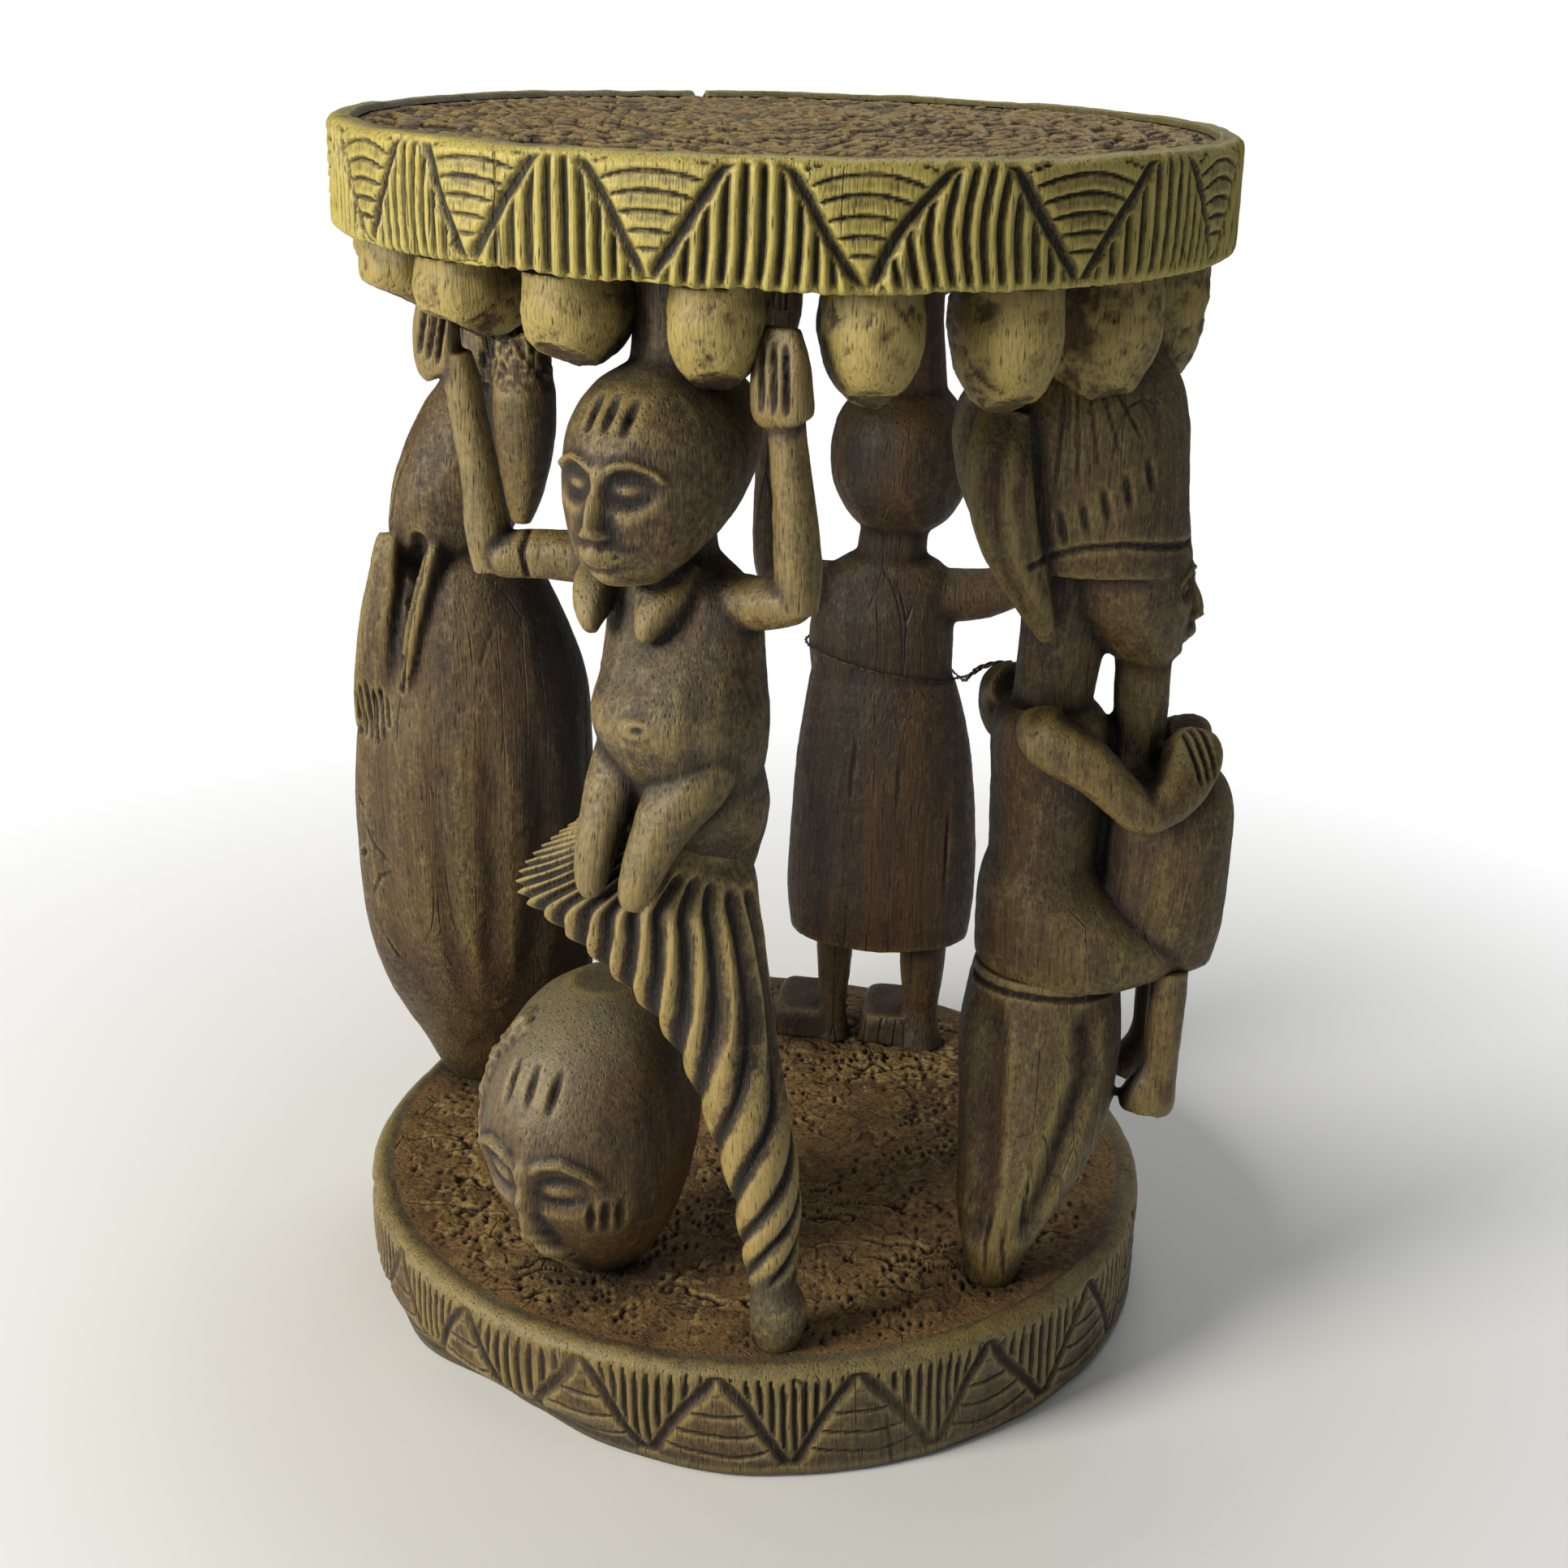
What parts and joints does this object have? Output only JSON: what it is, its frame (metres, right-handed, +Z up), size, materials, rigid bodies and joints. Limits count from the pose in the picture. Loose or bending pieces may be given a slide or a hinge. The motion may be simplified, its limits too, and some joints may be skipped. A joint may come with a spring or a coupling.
{
  "type": "stool",
  "caption": "Round carved wooden stool: a chip-carved seat and foot slab held apart by carved standing, kneeling and seated figures, with lobes under the seat.",
  "frame": {"origin": "on the floor under the middle of the seat, bottom centre of the bounding box", "axes": "+Z up, -Y towards the front with the kneeling woman and the large head, +X to the viewer's right"},
  "size_m": [0.326, 0.306, 0.44],
  "materials": {
    "pale_wood": "worn, dry hardwood",
    "worn_wood": "rubbed patina on dark hardwood",
    "dark_wood": "dark aged hardwood",
    "iron_wire": "dull rusted wire"
  },
  "bodies": {
    "root": {"seat": "pale_wood", "base": "dark_wood", "lobes_front": "worn_wood", "lobes_right": "worn_wood", "lobes_back": "worn_wood", "lobes_left": "worn_wood", "woman_head_pad": "dark_wood", "woman_head": "worn_wood", "woman_neck": "worn_wood", "woman_torso": "worn_wood", "woman_hips": "worn_wood", "woman_right_upper_arm": "worn_wood", "woman_right_forearm": "worn_wood", "woman_left_upper_arm": "worn_wood", "woman_left_forearm": "worn_wood", "woman_right_thigh": "worn_wood", "woman_left_thigh": "worn_wood", "crest": "worn_wood", "braid": "worn_wood", "braid_foot": "worn_wood", "big_head": "worn_wood", "drinker_head_pad": "dark_wood", "drinker_cap": "worn_wood", "drinker_face": "dark_wood", "drinker_neck": "dark_wood", "drinker_torso": "worn_wood", "drinker_lap": "worn_wood", "drinker_right_lappet": "worn_wood", "drinker_left_lappet": "worn_wood", "drinker_right_arm": "worn_wood", "drinker_left_arm": "worn_wood", "drinker_pipe": "worn_wood", "drinker_drum": "dark_wood", "drinker_right_shin": "worn_wood", "drinker_left_shin": "worn_wood", "drinker_support": "worn_wood", "stander_head_pad": "dark_wood", "stander_head": "dark_wood", "stander_neck": "dark_wood", "stander_torso": "dark_wood", "stander_skirt": "dark_wood", "stander_right_arm": "dark_wood", "stander_left_arm": "dark_wood", "stander_right_leg": "dark_wood", "stander_left_leg": "dark_wood", "stander_right_foot": "dark_wood", "stander_left_foot": "dark_wood", "robed_head_pad": "dark_wood", "robed_head": "worn_wood", "robed_lappet": "pale_wood", "robe": "dark_wood", "robed_right_arm": "worn_wood", "robed_left_arm": "worn_wood", "wire_tie": "iron_wire"}
  },
  "joints": []
}
